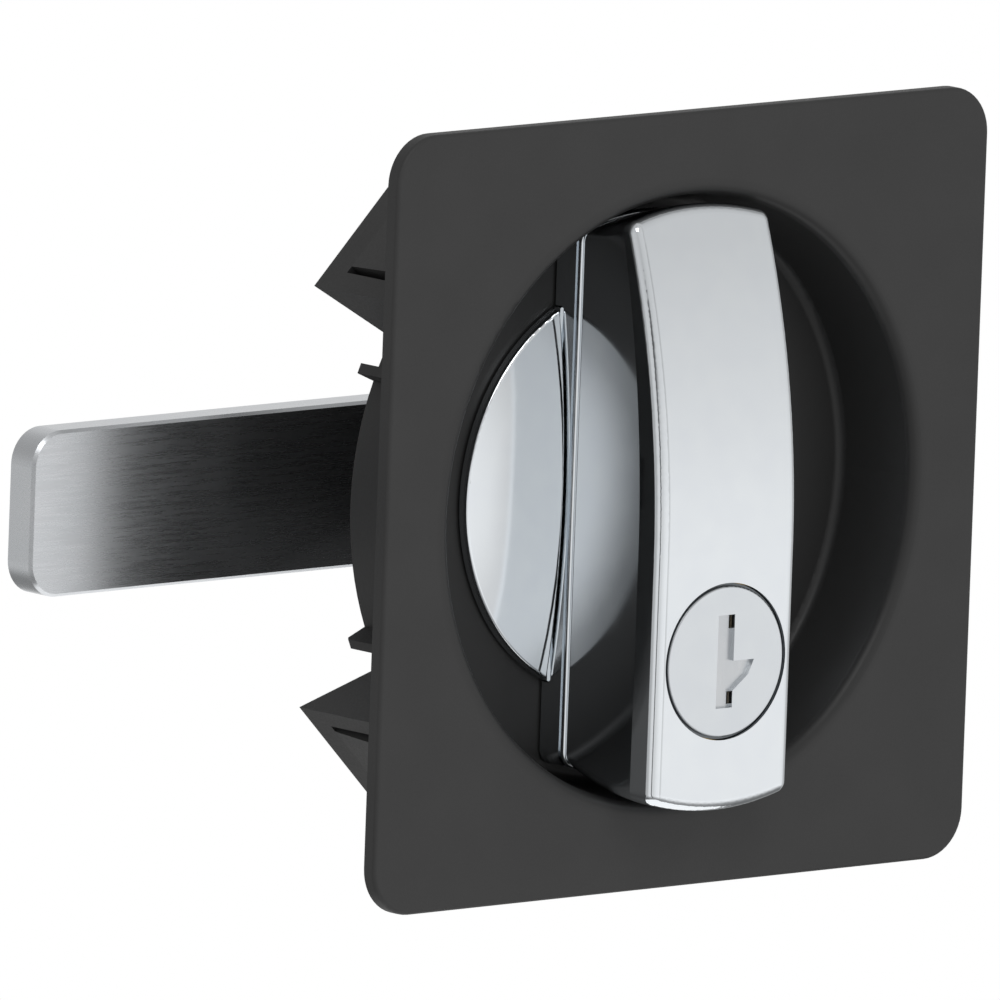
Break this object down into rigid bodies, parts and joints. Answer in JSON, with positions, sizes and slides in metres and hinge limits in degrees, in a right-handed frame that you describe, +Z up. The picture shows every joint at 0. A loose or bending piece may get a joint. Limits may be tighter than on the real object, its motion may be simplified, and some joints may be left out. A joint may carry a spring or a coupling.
{
  "type": "square cabinet lock",
  "caption": "Snap-in square cabinet lock: a quarter-turn chrome grip with a key cylinder sits in a round dish, and a flat steel tongue turns behind the panel.",
  "frame": {"origin": "on the grip's turning axis, on the back face of the plate, which lies on the panel's front", "axes": "+X to the right as seen from the front, +Y into the panel along the turning axis, +Z up; the grip is upright and the tongue points to -X at rest"},
  "size_m": [0.1001, 0.0399, 0.075],
  "materials": {
    "black_plastic": "fine even moulded texture",
    "chrome_plate": "bright plating on a die casting",
    "tongue_steel": "zinc-plated, drawn flat bar",
    "zinc_steel": "zinc-plated, turned or pressed",
    "spring_steel": "oiled spring steel",
    "ball_steel": "polished bearing steel",
    "cylinder_brass": "turned and milled",
    "bush_plastic": "natural acetal",
    "wafer_nickel_silver": "stamped nickel silver",
    "seal_rubber": "plain black rubber"
  },
  "bodies": {
    "housing_group": {"housing": "black_plastic", "spindle_bush": "bush_plastic", "detent_balls": "ball_steel", "detent_springs": "spring_steel"},
    "knob": {"grip_shell": "chrome_plate", "grip_foot": "chrome_plate", "grip_screws": "zinc_steel", "turn_disc": "chrome_plate", "disc_screws": "zinc_steel", "lock_barrel": "cylinder_brass", "barrel_pin": "zinc_steel", "spindle": "zinc_steel", "spindle_seal": "seal_rubber", "cone_spring": "spring_steel", "stop_washer": "zinc_steel", "circlip": "spring_steel", "tongue": "tongue_steel", "tongue_washer": "zinc_steel", "tongue_nut": "zinc_steel"},
    "key_core": {"plug_cap": "chrome_plate", "key_shutter": "spring_steel", "key_plug": "cylinder_brass", "plug_wafers": "wafer_nickel_silver", "bolt_driver": "zinc_steel"},
    "bolt": {"locking_bolt": "zinc_steel"}
  },
  "joints": [
    {"name": "knob_turn", "type": "hinge", "parent": "housing_group", "child": "knob", "pos_m": [0, 0, 0], "axis": [0, 1, 0], "range_deg": [0, 90]},
    {"name": "key_turn", "type": "hinge", "parent": "knob", "child": "key_core", "pos_m": [0, 0, -0.01463], "axis": [0, 1, 0], "range_deg": [0, 90]},
    {"name": "bolt_slide", "type": "slide", "parent": "knob", "child": "bolt", "axis": [0, 0, -1], "range_m": [0, 0.00424]}
  ],
  "couplings": [
    {"joint": "key_turn", "follows": "bolt_slide", "rad_per_m": 370.24}
  ]
}
